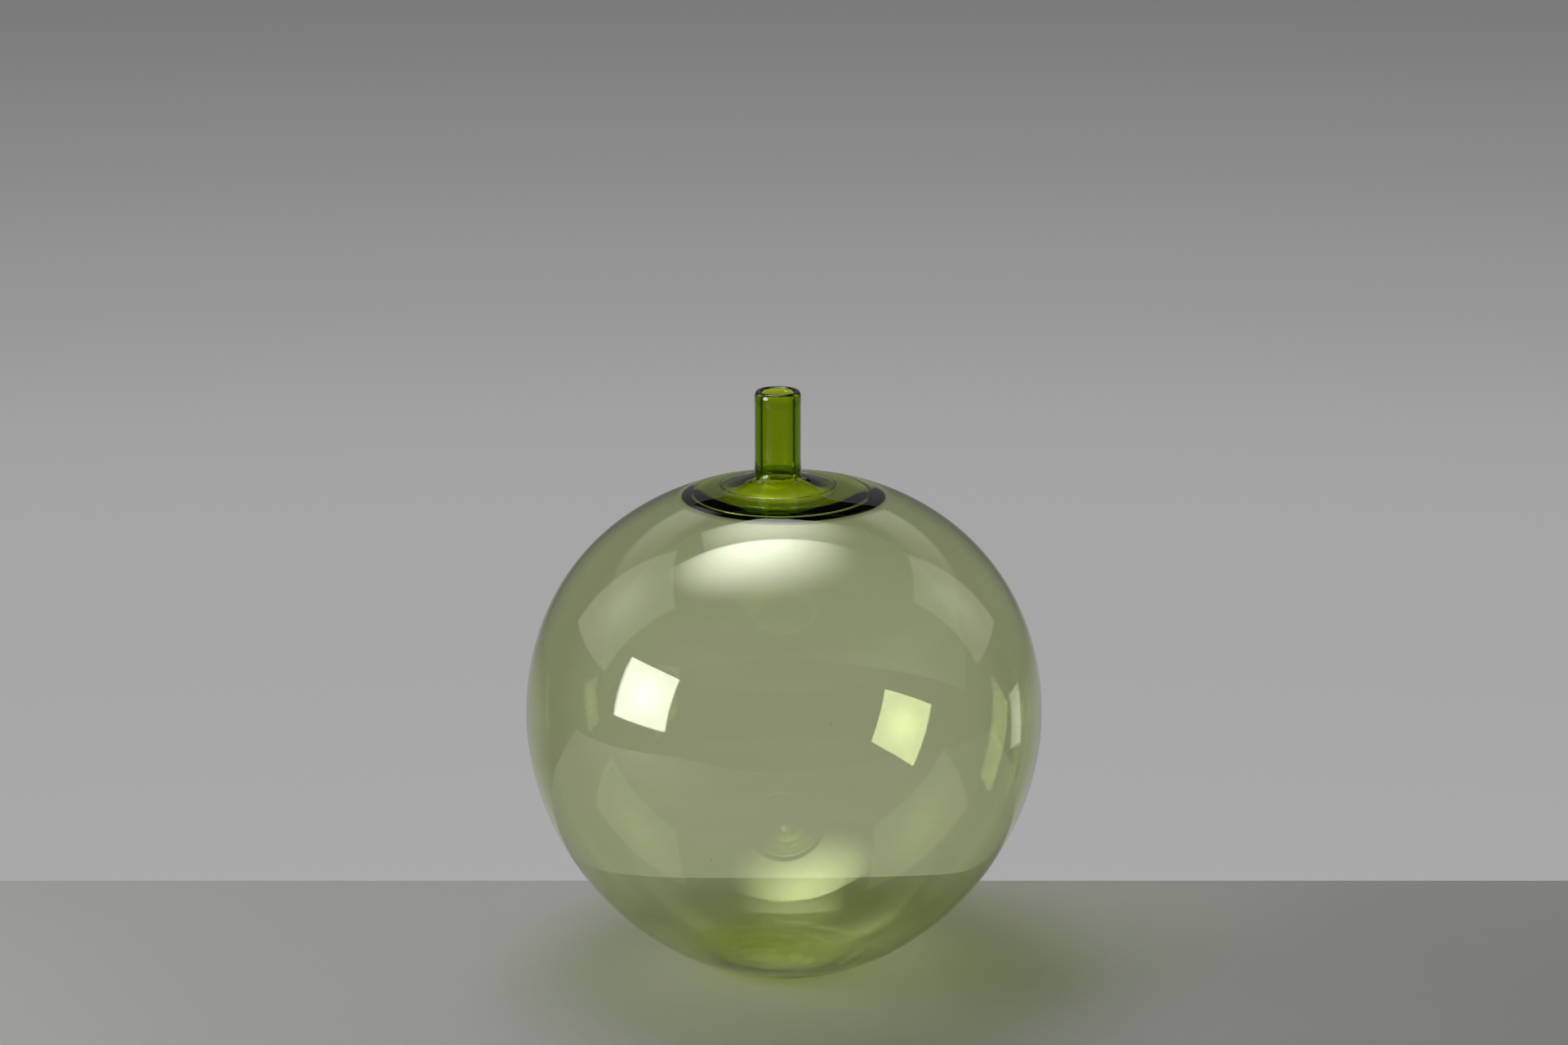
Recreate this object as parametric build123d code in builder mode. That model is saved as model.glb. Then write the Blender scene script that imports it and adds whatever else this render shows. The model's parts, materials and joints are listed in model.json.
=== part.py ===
"""Blown art glass apple: a thin round hollow body and an open stem fused to its crown.

Millimetres. The origin is on the table in the middle of the ground foot, and +Z is the body's axis.
The body and its hollow are turned about that axis. The stem, its low flare and the thick crown round it are
turned about the stem's own axis, which stands a little to one side, as on a piece blown by hand.
"""

import os
from math import acos, copysign, cos, degrees, hypot, radians, sin, tan

from build123d import *

# Outer form of the body: two rounded halves that meet at the widest circle
body_radius = 160.0
crown_rise = 150.6  # from the widest circle up to where the crown would close on the axis
crown_fullness = 2.13  # 2 is a true ellipse; more is squarer, so the crown is a little full
base_drop = 167.0  # from the widest circle down to where the round underside would close
base_fullness = 1.9  # less than 2, so the base draws in like the fruit's
foot_radius = 36.0  # the flat ground on the underside
foot_edge_round = 14.0

# Glass of the body
wall = 2.2
floor_glass = 6.6  # over the flat foot
floor_radius = 24.0
kick_rise = 1.2  # the low hump in the middle of the floor
floor_turn_radius = 48.0  # half way from the floor up to the even wall
floor_turn_glass = 4.8
floor_edge_radius = 78.0  # where the even wall begins

# Stem, and how far it stands off the body's axis
stem_offset = 3.8
stem_length = 52.7
stem_foot_radius = 14.8
stem_radius = 14.1
stem_spread = 19.0  # height over which the foot narrows to the stem
bore_radius = 9.5
bore_flare = 3.0  # length over which the bore opens towards the mouth
mouth_radius = 10.3
mouth_drop = 0.9  # from the top of the lip down to the mouth's edge
lip_radius = 11.9  # highest circle of the fire-polished lip
lip_drop = 8.9  # height of the rounded lip

# Low flare by which the crown draws up to the stem, and the fine ring pressed round it
ring_radius = 35.5
ring_sink = 1.2  # the ring's crease lies this far below the round skin
ring_bank = 30.0  # slope in degrees from the crease back out to the skin
ring_round = 0.8  # the bank's soft upper edge
flare_rise = 6.5  # from the crease up to the foot of the stem
flare_slope = 13.0  # degrees, at the crease
flare_turn_radius = 17.0  # where the flare turns up to the stem
flare_turn_drop = 1.5
flare_foot_slope = 45.0

# Thick crown under the flare: its underside falls from the bore as a funnel to a flat shelf
throat_radius = 16.0  # where the funnel turns up into the bore
throat_drop = 7.6  # below the stem's foot
funnel_radius = 26.0
funnel_drop = 11.2
shelf_radius = 40.0  # inner edge of the shelf
shelf_drop = 0.6  # from there down to the level shelf
shelf_turn = 7.0  # width over which the shelf turns level
ceiling_glass = 8.0  # where it is level
crown_edge_radius = 63.5  # the shelf runs out into the even wall about here

# The flat foot is on z = 0
equator_height = base_drop * (1 - (foot_radius / body_radius) ** base_fullness) ** (1 / base_fullness)


def section_angle(radius, fullness):
    """Angle along a half of the body's section at which its outer skin has this radius."""
    return degrees(acos((radius / body_radius) ** (fullness / 2)))


def skin(angle, depth=0.0):
    """Point of the section, depth millimetres inside the outer skin, and the upward direction there."""
    rise, fullness = (crown_rise, crown_fullness) if angle >= 0 else (base_drop, base_fullness)
    across = abs(cos(radians(angle))) ** (2 / fullness)
    along = abs(sin(radians(angle))) ** (2 / fullness)
    normal_r = across ** (fullness - 1) / body_radius
    normal_z = copysign(along ** (fullness - 1) / rise, angle)
    size = hypot(normal_r, normal_z)
    point = (
        body_radius * across - depth * normal_r / size,
        equator_height + copysign(rise * along, angle) - depth * normal_z / size,
    )
    return point, (-normal_z / size, normal_r / size)


def skin_curve(start, end, depth=0.0, steps=10):
    """Points and end directions of a rising stretch of the section, from one angle to another."""
    angles = [start + (end - start) * i / steps for i in range(steps + 1)]
    return [skin(a, depth)[0] for a in angles], [skin(a, depth)[1] for a in (start, end)]


foot_angle = -section_angle(foot_radius, base_fullness)
floor_edge_angle = -section_angle(floor_edge_radius, base_fullness)
floor_turn_angle = -section_angle(floor_turn_radius, base_fullness)
lower_skin, lower_ends = skin_curve(foot_angle, 0)
upper_skin, upper_ends = skin_curve(0, 90)
lower_lining, lower_lining_ends = skin_curve(floor_edge_angle, 0, wall)
upper_lining, upper_lining_ends = skin_curve(0, 90, wall)

# Heights and reaches that follow from the round skin
ring_height = skin(section_angle(ring_radius, crown_fullness))[0][1] - ring_sink
seat_height = ring_height + flare_rise
stem_top = seat_height + stem_length
ceiling_radius = shelf_radius + shelf_turn
ceiling_height = skin(section_angle(ceiling_radius, crown_fullness))[0][1] - ceiling_glass
bank_radius = ring_radius + flare_rise / tan(radians(ring_bank))
crown_reach = crown_edge_radius + 2 * stem_offset  # past the even wall all round

stem_plane = Plane(origin=(-stem_offset, 0, 0), x_dir=(1, 0, 0), z_dir=(0, -1, 0))
seat_plane = Plane(origin=(-stem_offset, 0, seat_height))
stem_axis = Axis((-stem_offset, 0, 0), (0, 0, 1))
flare = [
    (ring_radius, ring_height),
    (flare_turn_radius, seat_height - flare_turn_drop),
    (stem_foot_radius, seat_height),
]
flare_ends = [(-cos(radians(a)), sin(radians(a))) for a in (flare_slope, flare_foot_slope)]

# Hollow of the body: heavier floor, even wall, and a throat up to the stem through the thick crown
with BuildPart() as hollow:
    with BuildSketch(Plane.XZ):
        with BuildLine():
            Spline(
                (0, floor_glass + kick_rise),
                (floor_radius, floor_glass),
                skin(floor_turn_angle, floor_turn_glass)[0],
                lower_lining[0],
                tangents=[(1, 0), lower_lining_ends[0]],
            )
            Spline(*lower_lining, tangents=lower_lining_ends)
            Polyline(lower_lining[-1], (0, equator_height), (0, floor_glass + kick_rise))
        make_face()
    revolve(axis=Axis.Z)
    with BuildSketch(Plane.XZ):
        with BuildLine():
            Spline(*upper_lining, tangents=upper_lining_ends)
            Polyline(upper_lining[-1], (0, equator_height), upper_lining[0])
        make_face()
    revolve(axis=Axis.Z)
    with BuildSketch(seat_plane):
        Circle(throat_radius)
    extrude(amount=-throat_drop)
    with BuildSketch(stem_plane):
        with BuildLine():
            Spline(
                (bore_radius, seat_height),
                (throat_radius, seat_height - throat_drop),
                (funnel_radius, seat_height - funnel_drop),
                (shelf_radius, ceiling_height + shelf_drop),
                (ceiling_radius, ceiling_height),
                (crown_reach, ceiling_height),
                tangents=[(0, -1), (1, 0)],
            )
            Polyline((crown_reach, ceiling_height), (crown_reach, seat_height), (bore_radius, seat_height))
        make_face()
    revolve(axis=stem_axis, mode=Mode.SUBTRACT)

# Body: round skin on a flat foot, the flare with its ring, and the hollow
with BuildPart() as body:
    with BuildSketch(Plane.XZ):
        with BuildLine():
            Line((0, 0), lower_skin[0])
            Spline(*lower_skin, tangents=lower_ends)
            Polyline(lower_skin[-1], (0, equator_height), (0, 0))
        make_face()
    revolve(axis=Axis.Z)
    with BuildSketch(Plane.XZ):
        with BuildLine():
            Spline(*upper_skin, tangents=upper_ends)
            Polyline(upper_skin[-1], (0, equator_height), upper_skin[0])
        make_face()
    revolve(axis=Axis.Z)
    fillet(body.edges().filter_by(lambda e: abs(e.center().Z) < 0.01), foot_edge_round)
    with BuildSketch(stem_plane):
        with BuildLine():
            Polyline(
                (0, ring_height),
                (ring_radius, ring_height),
                (bank_radius, seat_height),
                (0, seat_height),
                close=True,
            )
        make_face()
    revolve(axis=stem_axis, mode=Mode.SUBTRACT)
    with BuildSketch(stem_plane):
        with BuildLine():
            Spline(*flare, tangents=flare_ends)
            Polyline(flare[-1], (0, seat_height), (0, ring_height), flare[0])
        make_face()
    revolve(axis=stem_axis)
    ring = body.edges().filter_by(lambda e: abs(e.bounding_box().size.X / 2 - ring_radius) < flare_rise)
    fillet(ring.sort_by(Axis.Z)[-1:], ring_round)
    add(hollow.part, mode=Mode.SUBTRACT)

# Stem: thick tube with a slightly spread foot, a rounded lip and a mouth wider than its bore
with BuildPart() as stem:
    with BuildSketch(stem_plane):
        with BuildLine():
            Line((bore_radius, seat_height), (stem_foot_radius, seat_height))
            Spline(
                (stem_foot_radius, seat_height),
                (stem_radius, seat_height + stem_spread),
                tangents=[(stem_radius - stem_foot_radius, stem_spread / 4), (0, 1)],
            )
            Line((stem_radius, seat_height + stem_spread), (stem_radius, stem_top - lip_drop))
            Spline((stem_radius, stem_top - lip_drop), (lip_radius, stem_top), tangents=[(0, 1), (-1, 0)])
            Spline(
                (lip_radius, stem_top),
                (mouth_radius, stem_top - mouth_drop),
                (bore_radius, stem_top - bore_flare),
                tangents=[(-1, 0), (0, -1)],
            )
            Line((bore_radius, stem_top - bore_flare), (bore_radius, seat_height))
        make_face()
    revolve(axis=stem_axis)

body.part.label = "body"
stem.part.label = "stem"
os.makedirs("parts", exist_ok=True)
export_step(body.part, "parts/body.step")
export_step(stem.part, "parts/stem.step")
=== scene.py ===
"""Green blown glass apple: a thin hollow body and a thick open stem, on a grey table in soft light."""

import json
import math
import random

import bmesh
import bpy
import numpy as np
from mathutils import Euler, Matrix, Vector


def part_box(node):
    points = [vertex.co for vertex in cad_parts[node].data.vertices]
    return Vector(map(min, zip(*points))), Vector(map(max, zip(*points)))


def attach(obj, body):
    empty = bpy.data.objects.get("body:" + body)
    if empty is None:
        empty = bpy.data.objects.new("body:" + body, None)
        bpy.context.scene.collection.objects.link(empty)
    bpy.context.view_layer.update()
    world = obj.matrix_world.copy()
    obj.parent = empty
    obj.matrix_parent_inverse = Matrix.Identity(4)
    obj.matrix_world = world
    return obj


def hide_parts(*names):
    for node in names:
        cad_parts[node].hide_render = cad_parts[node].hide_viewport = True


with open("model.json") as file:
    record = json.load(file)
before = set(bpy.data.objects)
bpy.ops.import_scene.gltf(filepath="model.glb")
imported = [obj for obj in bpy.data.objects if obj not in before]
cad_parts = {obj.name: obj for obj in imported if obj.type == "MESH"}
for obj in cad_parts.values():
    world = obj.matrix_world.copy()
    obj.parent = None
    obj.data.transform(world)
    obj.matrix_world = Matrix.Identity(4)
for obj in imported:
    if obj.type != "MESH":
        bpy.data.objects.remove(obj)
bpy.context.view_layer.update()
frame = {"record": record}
scene = bpy.context.scene

MM = 0.001

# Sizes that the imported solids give
body_low, body_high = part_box("body")
stem_low, stem_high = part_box("stem")
bore = next(m for m in frame["record"]["mounts"] if m["name"] == "stem_bore")
BODY_RADIUS = (body_high.x - body_low.x) / 2
SEAT_HEIGHT = body_high.z  # where the stem is fused to the crown
STEM_X = (stem_low.x + stem_high.x) / 2  # the stem stands a little to the left of the body's axis
STEM_FOOT_RADIUS = (stem_high.x - stem_low.x) / 2
STEM_TOP = stem_high.z
BORE_RADIUS = bore["dims"]["r_mm"] * MM

# Outer form of the body: two rounded halves that meet at the widest circle
CROWN_RISE = 150.6 * MM  # from the widest circle up to where the crown would close on the axis
CROWN_FULLNESS = 2.13  # 2 is a true ellipse; more is squarer
BASE_DROP = 167.0 * MM  # from the widest circle down to where the underside would close
BASE_FULLNESS = 1.9
FOOT_RADIUS = 36.0 * MM  # the flat ground on the underside
FOOT_EDGE = 14.0 * MM  # how far its soft edge reaches to both sides
equator_height = BASE_DROP * (1 - (FOOT_RADIUS / BODY_RADIUS) ** BASE_FULLNESS) ** (1 / BASE_FULLNESS)

# Glass of the body
WALL = 2.2 * MM
FLOOR_GLASS = 4.2 * MM  # over the flat foot
FLOOR_RADIUS = 24.0 * MM
FLOOR_TURN_RADIUS = 48.0 * MM  # half way from the floor up to the even wall
FLOOR_TURN_GLASS = 3.0 * MM
FLOOR_EDGE_RADIUS = 78.0 * MM  # where the even wall begins

# Swirl in the floor, where the bubble was cracked off: a low lump off the middle and rings round it
LUMP_PLACE = (-14.0 * MM, -6.0 * MM)
LUMP_RISE = 0.5 * MM
LUMP_RADIUS = 17.0 * MM
SWIRL_RISE = 0.1 * MM
SWIRL_PITCH = 15.0 * MM
SWIRL_REACH = 48.0 * MM

# Low flare by which the crown draws up to the stem, and the fine ring pressed round it
RING_RADIUS = 35.5 * MM
RING_SINK = 1.2 * MM
RING_GROOVE = 0.45 * MM  # depth of the fine groove; the rest of the sink is a gentle dip of the crown
RING_HALF = 0.55 * MM
RING_EDGE = 0.18 * MM
DIP_START_RADIUS = 62.0 * MM
FLARE_SLOPE = math.radians(13.0)  # at the ring
FLARE_TURN_RADIUS = 16.0 * MM  # where the flare turns up to the stem
FLARE_TURN_DROP = 0.5 * MM
FLARE_FOOT_SLOPE = math.radians(20.0)  # at the stem

# Thick crown under the flare: its underside falls from the bore as a funnel to a flat shelf
THROAT_RADIUS = 16.0 * MM  # where the funnel turns up into the bore
THROAT_DROP = 5.5 * MM
FUNNEL_RADIUS = 28.0 * MM
FUNNEL_DROP = 12.4 * MM
SHELF_RADIUS = 40.0 * MM  # inner edge of the shelf
SHELF_DROP = 0.9 * MM
CEILING_RADIUS = 47.0 * MM  # where the shelf is level
CEILING_GLASS = 8.0 * MM
CROWN_EDGE_RADIUS = 58.5 * MM  # the shelf runs out into the even wall here
CROWN_EDGE_BLEND = 5.0 * MM
LEAN_START_RADIUS = 66.0 * MM  # inside this circle the crown leans over to the stem's axis
LEAN_END_RADIUS = 37.0 * MM

# Stem
STEM_RADIUS = 14.1 * MM
STEM_SPREAD = 19.0 * MM  # height over which the foot narrows to the stem
BORE_FLARE = 3.0 * MM  # length over which the bore opens towards the mouth
MOUTH_RADIUS = 10.3 * MM
MOUTH_DROP = 0.9 * MM
LIP_RADIUS = 11.9 * MM  # highest circle of the fire-polished lip
LIP_DROP = 8.9 * MM

# Hot joint of stem and body: a hair of air between the two, uneven as a joint made by hand
SEAM_GAP = 0.05 * MM
SEAM_EDGE = 0.35 * MM
SEAM_WAVE = 0.35 * MM
SEAM_REACH = 3.0 * MM

# Unevenness of hand-blown glass. The ripple dies away near the foot and towards the stem.
RIPPLE = 0.12 * MM
WALL_RIPPLE = 0.10 * MM
STEADY_FOOT = 20.0 * MM
STEADY_CROWN = (0.80, 0.95)  # shares of the crown's rise
# Each wave has its share, its turns round the axis, its climb over the crown's rise, and its start
SKIN_WAVES = ((1, 2, 3.1, 0.4), (1, 5, -4.3, 1.9), (1, 3, 8.7, 5.2))
WALL_WAVES = ((1, 4, 5.3, 2.6), (1, 9, -7.1, 0.8), (1, 2, 13.0, 3.3))
SEAM_WAVES = ((1, 3, 0, 0.7), (0.8, 7, 0, 2.1), (0.6, 13, 0, 4.0))

# Seeds, the tiny bubbles that stay in a melt
SEED_COUNT = 26
SEED_DRAW = 11  # picks one of many chance scatters
SEED_ANGLES = (math.radians(-62), math.radians(60))  # below and above the widest circle
SEED_RADII = (0.30 * MM, 0.55 * MM)

# Air caught under the ring when the crown was shaped
CAUGHT_AIR = ((math.radians(131), 5.0 * MM), (math.radians(62), 1.7 * MM))  # azimuth and half-length
AIR_DEPTH = 1.1 * MM
AIR_WIDTH = 1.2 * MM
AIR_HEIGHT = 1.0 * MM

# Fineness of the meshes: segments round the axis, and steps along a section
SEGMENTS = 240
FOOT_STEP = 3.0 * MM
SKIN_STEP = 3.2 * MM
CROWN_STEP = 0.9 * MM
GROOVE_STEP = 0.1 * MM
FLARE_STEP = 0.7 * MM
LAND_STEP = 0.8 * MM
CEILING_STEP = 1.1 * MM
EDGE_STEP = 1.2 * MM
LINING_STEP = 3.4 * MM
FLOOR_STEP = 2.2 * MM
STEM_STEP = 0.6 * MM
CORNER_POINTS = 9  # of a rounded corner
ON_AXIS = 1e-7  # a point nearer the axis than this lies on it


def smoothstep(low, high, value):
    """0 at low, 1 at high, and a smooth rise between them."""
    t = np.clip((value - low) / (high - low), 0, 1)
    return t * t * (3 - 2 * t)


def section_angle(radius, fullness):
    """Angle along a half of the body's section at which the outer skin has this radius."""
    return math.acos((radius / BODY_RADIUS) ** (fullness / 2))


def skin(start, end, depth, count):
    """Points (radius, height) of the body's section from one angle to another, depth inside the skin."""
    angles = np.linspace(start, end, count)
    upper = angles >= 0
    rise = np.where(upper, CROWN_RISE, BASE_DROP)
    fullness = np.where(upper, CROWN_FULLNESS, BASE_FULLNESS)
    across = np.abs(np.cos(angles)) ** (2 / fullness)
    along = np.abs(np.sin(angles)) ** (2 / fullness)
    side = np.sign(angles)
    outward = across ** (fullness - 1) / BODY_RADIUS
    upward = side * along ** (fullness - 1) / rise
    normal = np.stack([outward, upward], axis=1)
    normal /= np.linalg.norm(normal, axis=1, keepdims=True)
    surface = np.stack([BODY_RADIUS * across, equator_height + side * rise * along], axis=1)
    return surface - depth * normal


def crown_height(radius):
    """Height of the outer skin of the crown at this radius."""
    share = (1 - (radius / BODY_RADIUS) ** CROWN_FULLNESS) ** (1 / CROWN_FULLNESS)
    return equator_height + CROWN_RISE * share


def distances(points):
    """Distance of each point from the first, along the line."""
    return np.r_[0, np.cumsum(np.linalg.norm(np.diff(points, axis=0), axis=1))]


def evenly(points, spacing):
    """The same line with its points about a set distance apart."""
    along = distances(points)
    count = max(2, round(along[-1] / spacing) + 1)
    marks = np.linspace(0, along[-1], count)
    return np.stack([np.interp(marks, along, points[:, k]) for k in (0, 1)], axis=1)


def straight(start, end, spacing):
    """Points of a straight stretch."""
    return evenly(np.array([start, end], float), spacing)


def smooth_line(knots, start, end, count=200):
    """Smooth curve through the knots that leaves and arrives in the given directions."""
    knots = np.array(knots, float)
    along = distances(knots)
    gaps = np.diff(along)
    size = len(knots)
    matrix = np.eye(size)
    slopes = np.zeros((size, 2))
    slopes[0] = np.array(start) / np.linalg.norm(start)
    slopes[-1] = np.array(end) / np.linalg.norm(end)
    chords = np.diff(knots, axis=0) / gaps[:, None]
    for i in range(1, size - 1):
        matrix[i, i - 1:i + 2] = gaps[i], 2 * (gaps[i - 1] + gaps[i]), gaps[i - 1]
        slopes[i] = 3 * (gaps[i] * chords[i - 1] + gaps[i - 1] * chords[i])
    slopes = np.linalg.solve(matrix, slopes)
    marks = np.linspace(0, along[-1], count)
    left = np.clip(np.searchsorted(along, marks, side="right") - 1, 0, size - 2)
    t = ((marks - along[left]) / gaps[left])[:, None]
    reach = gaps[left][:, None]
    return (
        knots[left] * (1 + 2 * t) * (1 - t) ** 2
        + slopes[left] * reach * t * (1 - t) ** 2
        + knots[left + 1] * t ** 2 * (3 - 2 * t)
        + slopes[left + 1] * reach * t ** 2 * (t - 1)
    )


def rounded(first, second, reach):
    """Two lines that meet in a corner, as one line with the corner rounded over reach on both sides."""
    corner = first[-1]
    back = distances(first[::-1])[::-1]
    ahead = distances(second)
    start = np.array([np.interp(-reach, -back, first[:, k]) for k in (0, 1)])
    end = np.array([np.interp(reach, ahead, second[:, k]) for k in (0, 1)])
    t = np.linspace(0, 1, CORNER_POINTS)[:, None]
    curve = start * (1 - t) ** 2 + 2 * corner * t * (1 - t) + end * t ** 2
    return np.concatenate([first[back > reach], curve, second[ahead > reach]])


def uphill(slope):
    """Direction that climbs towards the axis at this slope."""
    return -math.cos(slope), math.sin(slope)


def body_outside(seat):
    """Section of the body from the middle of the foot, up the skin and over the flare to the bore."""
    crease = (RING_RADIUS, crown_height(RING_RADIUS) - RING_SINK)
    shore = (RING_RADIUS - RING_HALF, crease[1] + RING_GROOVE)
    rim_radius = RING_RADIUS + RING_HALF
    foot_angle = -section_angle(FOOT_RADIUS, BASE_FULLNESS)
    crown_angle = section_angle(CROWN_EDGE_RADIUS, CROWN_FULLNESS)
    rim_angle = section_angle(rim_radius, CROWN_FULLNESS)

    foot = straight((0, 0), (FOOT_RADIUS, 0), FOOT_STEP)
    side = skin(foot_angle, crown_angle, depth=0, count=900)
    crown = skin(crown_angle, rim_angle, depth=0, count=200)
    crown[:, 1] -= (RING_SINK - RING_GROOVE) * smoothstep(DIP_START_RADIUS, rim_radius, crown[:, 0])
    bank = straight(crown[-1], crease, GROOVE_STEP)
    groove = rounded(bank, straight(crease, shore, GROOVE_STEP), RING_EDGE)
    flare = smooth_line(
        [shore, (FLARE_TURN_RADIUS, seat - FLARE_TURN_DROP), (STEM_FOOT_RADIUS, seat)],
        uphill(FLARE_SLOPE),
        uphill(FLARE_FOOT_SLOPE),
    )
    land = straight(flare[-1], (BORE_RADIUS, seat), LAND_STEP)

    lower = rounded(foot, evenly(side, SKIN_STEP), FOOT_EDGE)
    rim = rounded(evenly(crown, CROWN_STEP), groove, RING_EDGE)
    upper = rounded(rim, evenly(flare, FLARE_STEP), RING_EDGE)
    neck = rounded(upper, land, SEAM_EDGE)
    return np.concatenate([lower, neck[1:]])


def body_inside(seat):
    """Section of the hollow: the underside of the crown, and then the wall and floor below it."""
    ceiling_height = crown_height(CEILING_RADIUS) - CEILING_GLASS
    edge_angle = section_angle(CROWN_EDGE_RADIUS + CROWN_EDGE_BLEND, CROWN_FULLNESS)
    floor_angle = -section_angle(FLOOR_EDGE_RADIUS, BASE_FULLNESS)
    turn_angle = -section_angle(FLOOR_TURN_RADIUS, BASE_FULLNESS)

    ceiling = smooth_line(
        [
            (BORE_RADIUS, seat),
            (THROAT_RADIUS, seat - THROAT_DROP),
            (FUNNEL_RADIUS, seat - FUNNEL_DROP),
            (SHELF_RADIUS, ceiling_height + SHELF_DROP),
            (CEILING_RADIUS, ceiling_height),
            (CROWN_EDGE_RADIUS + 2 * CROWN_EDGE_BLEND, ceiling_height),
        ],
        (0, -1),
        (1, 0),
        count=600,
    )
    ceiling = ceiling[ceiling[:, 0] < CROWN_EDGE_RADIUS - CROWN_EDGE_BLEND]
    lining = skin(edge_angle, floor_angle, depth=WALL, count=800)
    edge = smooth_line(
        [ceiling[-1], lining[0]],
        ceiling[-1] - ceiling[-2],
        lining[1] - lining[0],
        count=40,
    )
    floor_turn = skin(turn_angle, turn_angle, depth=FLOOR_TURN_GLASS, count=1)[0]
    floor = smooth_line(
        [lining[-1], floor_turn, (FLOOR_RADIUS, FLOOR_GLASS), (0, FLOOR_GLASS)],
        lining[-1] - lining[-2],
        (-1, 0),
    )
    wall_and_floor = np.concatenate([
        evenly(edge, EDGE_STEP),
        evenly(lining, LINING_STEP)[1:],
        evenly(floor, FLOOR_STEP)[1:],
    ])
    return evenly(ceiling, CEILING_STEP), wall_and_floor


def body_section():
    """Section of the body, and the place in it from which the points belong to the inside."""
    seat = SEAT_HEIGHT - SEAM_GAP / 2
    outside = body_outside(seat)
    ceiling, wall_and_floor = body_inside(seat)
    section = np.concatenate([rounded(outside, ceiling, SEAM_EDGE), wall_and_floor])
    return section, len(outside)


def stem_section():
    """Closed section of the stem: out along the joint, up the outside, over the lip and down the bore."""
    seat = SEAT_HEIGHT + SEAM_GAP / 2
    spread_top = (STEM_RADIUS, seat + STEM_SPREAD)
    lip_foot = (STEM_RADIUS, STEM_TOP - LIP_DROP)
    lip = (LIP_RADIUS, STEM_TOP)
    mouth = (MOUTH_RADIUS, STEM_TOP - MOUTH_DROP)
    bore_top = (BORE_RADIUS, STEM_TOP - BORE_FLARE)
    narrowing = (STEM_RADIUS - STEM_FOOT_RADIUS, STEM_SPREAD / 4)  # steepest at the foot

    land = straight((BORE_RADIUS, seat), (STEM_FOOT_RADIUS, seat), LAND_STEP)
    side = np.concatenate([
        smooth_line([land[-1], spread_top], narrowing, (0, 1)),
        straight(spread_top, lip_foot, STEM_STEP)[1:],
        smooth_line([lip_foot, lip], (0, 1), (-1, 0))[1:],
        smooth_line([lip, mouth, bore_top], (-1, 0), (0, -1))[1:],
        straight(bore_top, land[0], STEM_STEP)[1:],
    ])
    # The line runs on over its own first points, so that its last corner is rounded too
    overlap = 3
    outline = rounded(rounded(land, evenly(side, STEM_STEP), SEAM_EDGE), land[:overlap], SEAM_EDGE)
    return outline[overlap - 1:-1]


def waver(azimuth, rise, waves):
    """Sum of waves that run round a piece and climb it, from -1 to 1."""
    parts = [
        share * np.sin(turns * azimuth + climb * rise + start)
        for share, turns, climb, start in waves
    ]
    return sum(parts) / sum(wave[0] for wave in waves)


def floor_swirl(x, y):
    """Rise of the floor's lump, and of the rings round it."""
    from_x = x - LUMP_PLACE[0]
    from_y = y - LUMP_PLACE[1]
    off = np.hypot(from_x, from_y)
    turns = 2 * math.pi * off / SWIRL_PITCH - np.arctan2(from_y, from_x)
    lump = LUMP_RISE * np.exp(-(off / LUMP_RADIUS) ** 2)
    fading = np.exp(-(off / SWIRL_REACH) ** 2) * smoothstep(0, LUMP_RADIUS, off)
    return lump + SWIRL_RISE * np.sin(turns) * fading


def uneven(corners, inside):
    """Corners moved as hand-blown glass is uneven: the crown leans; the joint, wall and floor waver."""
    x, y, z = corners.T.copy()
    radius = np.hypot(x, y)
    azimuth = np.arctan2(y, x)
    rise = (z - equator_height) / CROWN_RISE
    lean = STEM_X * smoothstep(LEAN_START_RADIUS, LEAN_END_RADIUS, radius) * (z > equator_height)
    near_joint = np.exp(-((z - SEAT_HEIGHT) / SEAM_REACH) ** 2) * (radius < LEAN_END_RADIUS)
    joint = near_joint * SEAM_WAVE * waver(azimuth, rise, SEAM_WAVES)
    floor = inside * floor_swirl(x, y) * (z < equator_height)
    loose = smoothstep(0.0, STEADY_FOOT, z) * (1 - smoothstep(*STEADY_CROWN, rise))
    ripple = RIPPLE * (1 - waver(azimuth, rise, SKIN_WAVES)) / 2
    thicker = inside * WALL_RIPPLE * (1 + waver(azimuth, rise, WALL_WAVES)) / 2
    shrink = 1 - loose * (ripple + thicker) / BODY_RADIUS
    height = equator_height + (z - equator_height) * shrink
    return np.stack([x * shrink + lean, y * shrink, height + joint + floor], axis=1)


def turned_piece(name, section, closed, inside_from):
    """Mesh turned from a section: a ring of corners for each point, or one corner on the axis."""
    turn = np.arange(SEGMENTS) * 2 * math.pi / SEGMENTS
    corners = []
    inside = []
    rings = []
    total = 0
    for place, (radius, height) in enumerate(section):
        angles = turn[:1] if radius < ON_AXIS else turn
        count = len(angles)
        around = [radius * np.cos(angles), radius * np.sin(angles), np.full(count, height)]
        corners.append(np.stack(around, axis=1))
        inside.append(np.full(count, place >= inside_from))
        rings.append(range(total, total + count))
        total += count
    pairs = list(zip(rings, rings[1:]))
    if closed:
        pairs.append((rings[-1], rings[0]))
    faces = []
    for near, far in pairs:
        for k in range(SEGMENTS):
            n = (k + 1) % SEGMENTS
            if len(near) == 1:
                faces.append((near[0], far[n], far[k]))
            elif len(far) == 1:
                faces.append((near[k], near[n], far[0]))
            else:
                faces.append((near[k], near[n], far[n], far[k]))
    mesh = bpy.data.meshes.new(name)
    mesh.from_pydata(uneven(np.concatenate(corners), np.concatenate(inside)), [], faces)
    piece = bpy.data.objects.new(name, mesh)
    scene.collection.objects.link(piece)
    return piece


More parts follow.
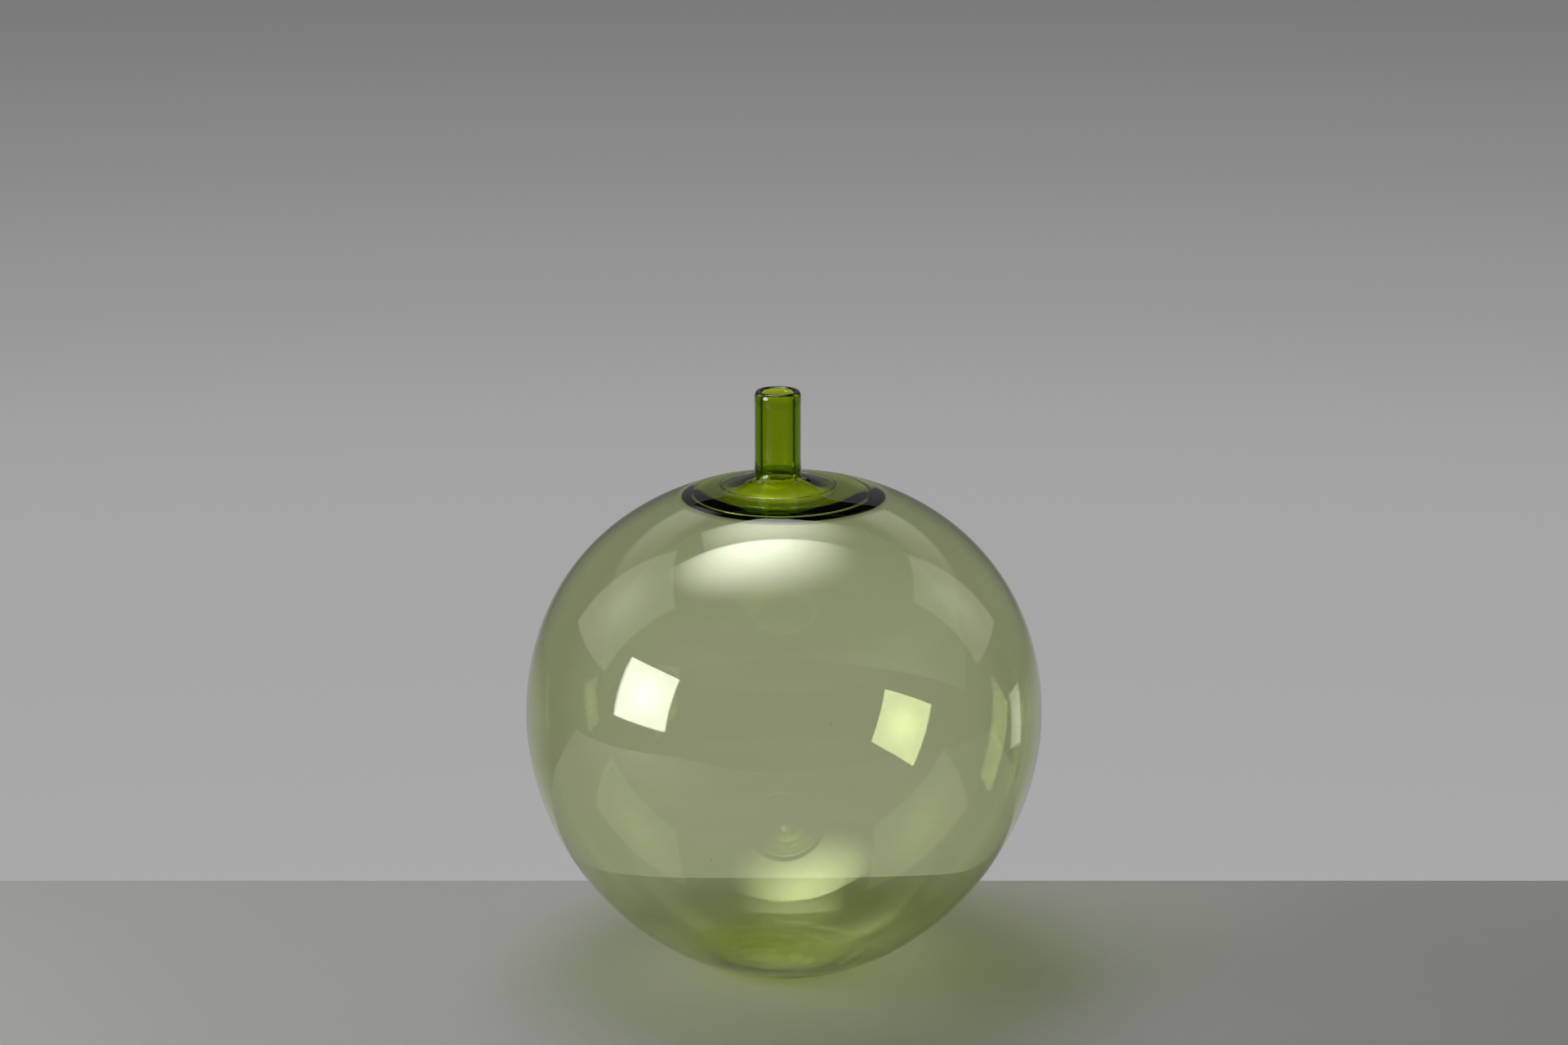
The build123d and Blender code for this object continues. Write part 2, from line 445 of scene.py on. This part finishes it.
def scattered_seeds():
    """Seeds in the middle of the body's wall: the place, the radii and the turn of each."""
    chance = random.Random(SEED_DRAW)
    seeds = []
    for _ in range(SEED_COUNT):
        angle = chance.uniform(*SEED_ANGLES)
        azimuth = chance.uniform(0, 2 * math.pi)
        radius, height = skin(angle, angle, depth=WALL / 2, count=1)[0]
        size = chance.uniform(*SEED_RADII)
        place = (radius * math.cos(azimuth), radius * math.sin(azimuth), height)
        seeds.append((place, (size, size, size), (0, 0, 0)))
    return seeds


def caught_air():
    """Bubbles under the ring, a long one at the back left and a short one at the right."""
    height = crown_height(RING_RADIUS) - RING_SINK - AIR_DEPTH
    bubbles = []
    for azimuth, half_length in CAUGHT_AIR:
        place = (STEM_X + RING_RADIUS * math.cos(azimuth), RING_RADIUS * math.sin(azimuth), height)
        radii = (half_length, AIR_WIDTH / 2, AIR_HEIGHT / 2)
        bubbles.append((place, radii, (0, 0, azimuth + math.pi / 2)))
    return bubbles


def add_bubbles(piece, bubbles):
    """Air bubbles closed inside the glass: small hollow forms that face inwards."""
    shape = bmesh.new()
    shape.from_mesh(piece.data)
    for place, radii, turn in bubbles:
        turned = Euler(turn).to_matrix().to_4x4()
        matrix = Matrix.Translation(place) @ turned @ Matrix.Diagonal((*radii, 1))
        made = bmesh.ops.create_icosphere(shape, subdivisions=2, radius=1, matrix=matrix)
        faces = {f for corner in made["verts"] for f in corner.link_faces}
        bmesh.ops.reverse_faces(shape, faces=list(faces))
    shape.to_mesh(piece.data)
    shape.free()


def linear(colour):
    """Linear values, with full alpha, of an sRGB hex colour such as "#DCE93E"."""
    parts = [int(colour[i:i + 2], 16) / 255 for i in (1, 3, 5)]
    return (*(p / 12.92 if p <= 0.04045 else ((p + 0.055) / 1.055) ** 2.4 for p in parts), 1)


def node(tree, kind, values=None, links=None, **settings):
    """Adds a node with its settings, its input values, and links from other nodes' outputs."""
    made = tree.nodes.new(kind)
    for key, value in settings.items():
        setattr(made, key, value)
    for key, value in (values or {}).items():
        made.inputs[key].default_value = value
    for key, (source, output) in (links or {}).items():
        tree.links.new(source.outputs[output], made.inputs[key])
    return made


# Sockets of a colour mix, by number because the node has several of each name
SHARE = 0
FIRST = 6
SECOND = 7
MIXED = 2


def new_material(name):
    """An empty node material and its tree."""
    material = bpy.data.materials.new(name)
    material.use_nodes = True
    material.node_tree.nodes.clear()
    return material, material.node_tree


# Soda-lime glass coloured green in the melt. The colour is in its depth: 2 mm of wall is a pale
# yellow-green film, and the thick stem and crown are deep olive. Its fire-polished skin is mirror smooth.
BODY_TINT = "#D3E353"
STEM_TINT = "#EAF231"
BODY_DEPTH = 160.0  # strength of the tint for each metre of glass
STEM_DEPTH = 640.0
GLASS_IOR = 1.52
SHADOW_PASS = 0.92  # share of the light that gets through each surface to the table
# Cords are faint streaks of glass that is not quite mixed. They lie round the body and run up the stem.
CLEAR_CAST = "#FFFFFF"
CORD_CAST = "#FBFCF6"
BODY_CORDS = (120 * MM, 120 * MM, 9 * MM)  # lengths of a cord across, deep and up
STEM_CORDS = (3 * MM, 3 * MM, 70 * MM)
# The thick gathers round the stem and in the floor are richer in colour: where each one is,
# how far out it is full and where it ends, and its cast
CROWN_CAST = "#FFFF80"
STEM_FOOT_CAST = "#C8D228"
FLOOR_CAST = "#FFFF48"
BODY_GATHERS = (
    ((STEM_X, 0, SEAT_HEIGHT), 40 * MM, 66 * MM, CROWN_CAST),
    ((STEM_X, 0, SEAT_HEIGHT), 24 * MM, 33 * MM, STEM_FOOT_CAST),
    ((*LUMP_PLACE, FLOOR_GLASS), 8 * MM, 64 * MM, FLOOR_CAST),
)


def green_glass(name, tint, strength, cords, gathers):
    """Clear green glass with faint cords and deeper gathers, which lets light through to the table."""
    material, tree = new_material(name)
    spot = node(tree, "ShaderNodeTexCoord")
    streaks = node(
        tree, "ShaderNodeMapping",
        {"Scale": [1 / size for size in cords]},
        {"Vector": (spot, "Object")},
    )
    cord = node(
        tree, "ShaderNodeTexNoise",
        {"Scale": 1.0, "Detail": 2.0},
        {"Vector": (streaks, "Vector")},
    )
    cast = node(
        tree, "ShaderNodeMix",
        {FIRST: linear(CLEAR_CAST), SECOND: linear(CORD_CAST)},
        {SHARE: (cord, "Fac")},
        data_type="RGBA",
    )
    for place, full, end, colour in gathers:
        off = node(tree, "ShaderNodeVectorMath", {1: place}, {0: (spot, "Object")}, operation="DISTANCE")
        near = node(
            tree, "ShaderNodeMapRange",
            {"From Min": full, "From Max": end, "To Min": 1.0, "To Max": 0.0},
            {"Value": (off, "Value")},
            interpolation_type="SMOOTHSTEP",
        )
        cast = node(
            tree, "ShaderNodeMix",
            {SECOND: linear(colour)},
            {SHARE: (near, "Result"), FIRST: (cast, MIXED)},
            data_type="RGBA",
        )
    surface = node(
        tree, "ShaderNodeBsdfPrincipled",
        {"Roughness": 0.0, "IOR": GLASS_IOR, "Transmission Weight": 1.0},
        {"Base Color": (cast, MIXED)},
    )
    path = node(tree, "ShaderNodeLightPath")
    clear = node(tree, "ShaderNodeBsdfTransparent", {"Color": (SHADOW_PASS, SHADOW_PASS, SHADOW_PASS, 1)})
    either = node(
        tree, "ShaderNodeMixShader", None,
        {0: (path, "Is Shadow Ray"), 1: (surface, "BSDF"), 2: (clear, "BSDF")},
    )
    depth = node(tree, "ShaderNodeVolumeAbsorption", {"Color": linear(tint), "Density": strength})
    node(
        tree, "ShaderNodeOutputMaterial", None,
        {"Surface": (either, "Shader"), "Volume": (depth, "Volume")},
    )
    return material


# Board with a coat of matt grey paint: an even tone with no shine to speak of
BOARD_COLOUR = "#929291"


def painted_board(name, colour):
    """Matt painted board."""
    material, tree = new_material(name)
    surface = node(tree, "ShaderNodeBsdfPrincipled", {"Base Color": linear(colour), "Roughness": 0.8})
    node(tree, "ShaderNodeOutputMaterial", None, {"Surface": (surface, "BSDF")})
    return material


LAMP_COLOUR = "#FFFFFF"


def softbox(name, place, target, size, watts, fade, core=(0.5, 0.5), reach=0.5):
    """Lamp with a cloth front, brightest at its core and darker by fade at reach from there.

    The core and the reach are shares of its width and height.
    """
    lamp = bpy.data.lights.new(name, "AREA")
    lamp.shape = "RECTANGLE"
    lamp.size, lamp.size_y = size
    lamp.energy = watts
    lamp.use_nodes = True
    tree = lamp.node_tree
    tree.nodes.clear()
    spot = node(tree, "ShaderNodeNewGeometry")
    off = node(
        tree, "ShaderNodeVectorMath",
        {1: (*core, 0)},
        {0: (spot, "Parametric")},
        operation="DISTANCE",
    )
    glow = node(
        tree, "ShaderNodeMapRange",
        {"From Min": 0.0, "From Max": reach, "To Min": 1.0, "To Max": 1.0 - fade},
        {"Value": (off, "Value")},
        interpolation_type="SMOOTHSTEP",
    )
    light = node(
        tree, "ShaderNodeEmission",
        {"Color": linear(LAMP_COLOUR)},
        {"Strength": (glow, "Result")},
    )
    node(tree, "ShaderNodeOutputLight", None, {"Surface": (light, "Emission")})
    holder = bpy.data.objects.new(name, lamp)
    holder.location = place
    holder.rotation_euler = (Vector(target) - Vector(place)).to_track_quat("-Z", "Y").to_euler()
    scene.collection.objects.link(holder)


# Tones of the room from below to overhead, each with the sine of its angle above the level
WALL_TONES = (
    (-0.60, "#C8C8C8"),
    (-0.36, "#ABABAB"),
    (-0.24, "#A4A4A4"),
    (-0.12, "#747474"),
    (0.08, "#707070"),
    (0.44, "#747474"),
    (0.47, "#DCDCDC"),
    (0.63, "#DCDCDC"),
    (0.70, "#181818"),
)
# The dark gap at the back, between the wall and the lamp overhead
GAP_TONE = "#202020"
GAP_LOW = math.radians(27.0)
GAP_HIGH = math.radians(43.0)
GAP_SIDE = math.radians(18.0)
GAP_SOFT = math.radians(1.0)
# The room is dim towards the viewer. Its tone rises between these two edges; 1 is straight back.
FRONT_TONE = 0.15
FRONT_EDGE = 0.45
BACK_EDGE = 0.9


def studio():
    """Room of plain grey walls with a dark gap at the back, a dark ceiling and a dim front."""
    world = bpy.data.worlds.new("studio")
    world.use_nodes = True
    tree = world.node_tree
    tree.nodes.clear()
    look = node(tree, "ShaderNodeTexCoord")
    way = node(tree, "ShaderNodeSeparateXYZ", None, {"Vector": (look, "Generated")})
    height = node(tree, "ShaderNodeMapRange", {"From Min": -1.0, "From Max": 1.0}, {"Value": (way, "Z")})
    walls = node(tree, "ShaderNodeValToRGB", None, {"Fac": (height, "Result")})
    ramp = walls.color_ramp
    while len(ramp.elements) < len(WALL_TONES):
        ramp.elements.new(1.0)
    for element, (sine, tone) in zip(ramp.elements, WALL_TONES):
        element.position = (sine + 1) / 2
        element.color = linear(tone)
    turn = node(tree, "ShaderNodeMath", None, {0: (way, "X"), 1: (way, "Y")}, operation="ARCTAN2")
    aside = node(tree, "ShaderNodeMath", None, {0: (turn, "Value")}, operation="ABSOLUTE")
    between = node(
        tree, "ShaderNodeMapRange",
        {"From Min": GAP_SIDE - GAP_SOFT, "From Max": GAP_SIDE + GAP_SOFT, "To Min": 1.0, "To Max": 0.0},
        {"Value": (aside, "Value")},
    )
    over = node(
        tree, "ShaderNodeMapRange",
        {"From Min": math.sin(GAP_LOW - GAP_SOFT), "From Max": math.sin(GAP_LOW + GAP_SOFT)},
        {"Value": (way, "Z")},
    )
    past = node(
        tree, "ShaderNodeMapRange",
        {"From Min": math.sin(GAP_HIGH - GAP_SOFT), "From Max": math.sin(GAP_HIGH + GAP_SOFT)},
        {"Value": (way, "Z")},
    )
    band = node(
        tree, "ShaderNodeMath", None,
        {0: (over, "Result"), 1: (past, "Result")},
        operation="SUBTRACT",
    )
    gap = node(
        tree, "ShaderNodeMath", None,
        {0: (band, "Value"), 1: (between, "Result")},
        operation="MULTIPLY",
    )
    tones = node(
        tree, "ShaderNodeMix",
        {SECOND: linear(GAP_TONE)},
        {SHARE: (gap, "Value"), FIRST: (walls, "Color")},
        data_type="RGBA",
    )
    ahead = node(
        tree, "ShaderNodeMapRange",
        {"From Min": FRONT_EDGE, "From Max": BACK_EDGE, "To Min": FRONT_TONE, "To Max": 1.0},
        {"Value": (way, "Y")},
        interpolation_type="SMOOTHSTEP",
    )
    light = node(
        tree, "ShaderNodeBackground", None,
        {"Color": (tones, MIXED), "Strength": (ahead, "Result")},
    )
    node(tree, "ShaderNodeOutputWorld", None, {"Surface": (light, "Background")})
    return world


# The two pieces of glass
body_rows, inside_start = body_section()
stem_rows = stem_section()
body = turned_piece("blown_body", body_rows, closed=False, inside_from=inside_start)
stem = turned_piece("drawn_stem", stem_rows, closed=True, inside_from=len(stem_rows))
add_bubbles(body, scattered_seeds() + caught_air())
body_glass = green_glass("green_body_glass", BODY_TINT, BODY_DEPTH, BODY_CORDS, BODY_GATHERS)
stem_glass = green_glass("green_stem_glass", STEM_TINT, STEM_DEPTH, STEM_CORDS, gathers=())
for piece, node_name, slot, glass in (
    (body, "body", "body_glass", body_glass),
    (stem, "stem", "stem_glass", stem_glass),
):
    piece.data.shade_smooth()
    piece.data.materials.append(glass)
    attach(piece, "root")
    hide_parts(node_name)

# The table, which ends a little behind the apple
TABLE_BACK = 0.142
TABLE_REACH = 1.15
TABLE_GAP = 0.3 * MM  # the ground foot touches the board in places only
table_mesh = bpy.data.meshes.new("table")
table_corners = [
    (-TABLE_REACH, -TABLE_REACH, -TABLE_GAP),
    (TABLE_REACH, -TABLE_REACH, -TABLE_GAP),
    (TABLE_REACH, TABLE_BACK, -TABLE_GAP),
    (-TABLE_REACH, TABLE_BACK, -TABLE_GAP),
]
table_mesh.from_pydata(table_corners, [], [(0, 1, 2, 3)])
table_mesh.materials.append(painted_board("matt_grey_board", BOARD_COLOUR))
table = bpy.data.objects.new("table", table_mesh)
scene.collection.objects.link(table)

# Light: the room, soft boxes at the left and overhead, lit walls, and a strip low at the right
MIDDLE = (0, 0, 0.2)
scene.world = studio()
softbox("left_box", place=(-1.25, -0.62, 0.52), target=MIDDLE, size=(0.68, 0.6), watts=16, fade=0.3)
softbox(
    "top_box", place=(-0.20, -0.32, 1.75), target=(-0.20, -0.32, 0), size=(2.0, 1.7), watts=82, fade=1.0,
    core=(0.46, 0.86), reach=0.5,
)
softbox(
    "top_cloth", place=(-0.05, 0.325, 1.76), target=(-0.05, 0.325, 0), size=(1.3, 1.45), watts=22, fade=1.0,
    core=(0.44, 0.85), reach=0.6,
)
softbox("left_wall", place=(-1.7, 0.5, 1.35), target=MIDDLE, size=(1.3, 1.5), watts=7, fade=0.5)
softbox("right_wall", place=(1.7, 0.7, 1.2), target=MIDDLE, size=(1.0, 1.3), watts=4, fade=0.5)
softbox(
    "right_strip", place=(0.60, 0.24, 0.07), target=(0, 0, 0.12), size=(0.10, 0.15), watts=0.06, fade=0.3,
)

# Camera at the photograph's place
CAMERA_AWAY = 2.5
CAMERA_TILT = math.radians(14.5)
CAMERA_AIM = math.radians(14.93)
AIM_HEIGHT = 0.30376
SENSOR_WIDTH = 36.0  # millimetres, as the lens
LENS = 93.675
camera_data = bpy.data.cameras.new("camera")
camera_data.sensor_width = SENSOR_WIDTH
camera_data.lens = LENS
camera = bpy.data.objects.new("camera", camera_data)
camera_height = AIM_HEIGHT + CAMERA_AWAY * math.sin(CAMERA_TILT)
camera.location = (0, -CAMERA_AWAY * math.cos(CAMERA_TILT), camera_height)
camera.rotation_euler = (math.pi / 2 - CAMERA_AIM, 0, 0)
scene.collection.objects.link(camera)
scene.camera = camera

# Light passes many faces of glass before it reaches the camera
GLASS_BOUNCES = 40
scene.cycles.max_bounces = GLASS_BOUNCES
scene.cycles.transmission_bounces = GLASS_BOUNCES
scene.cycles.transparent_max_bounces = GLASS_BOUNCES
scene.view_settings.view_transform = "Standard"

bpy.context.view_layer.update()
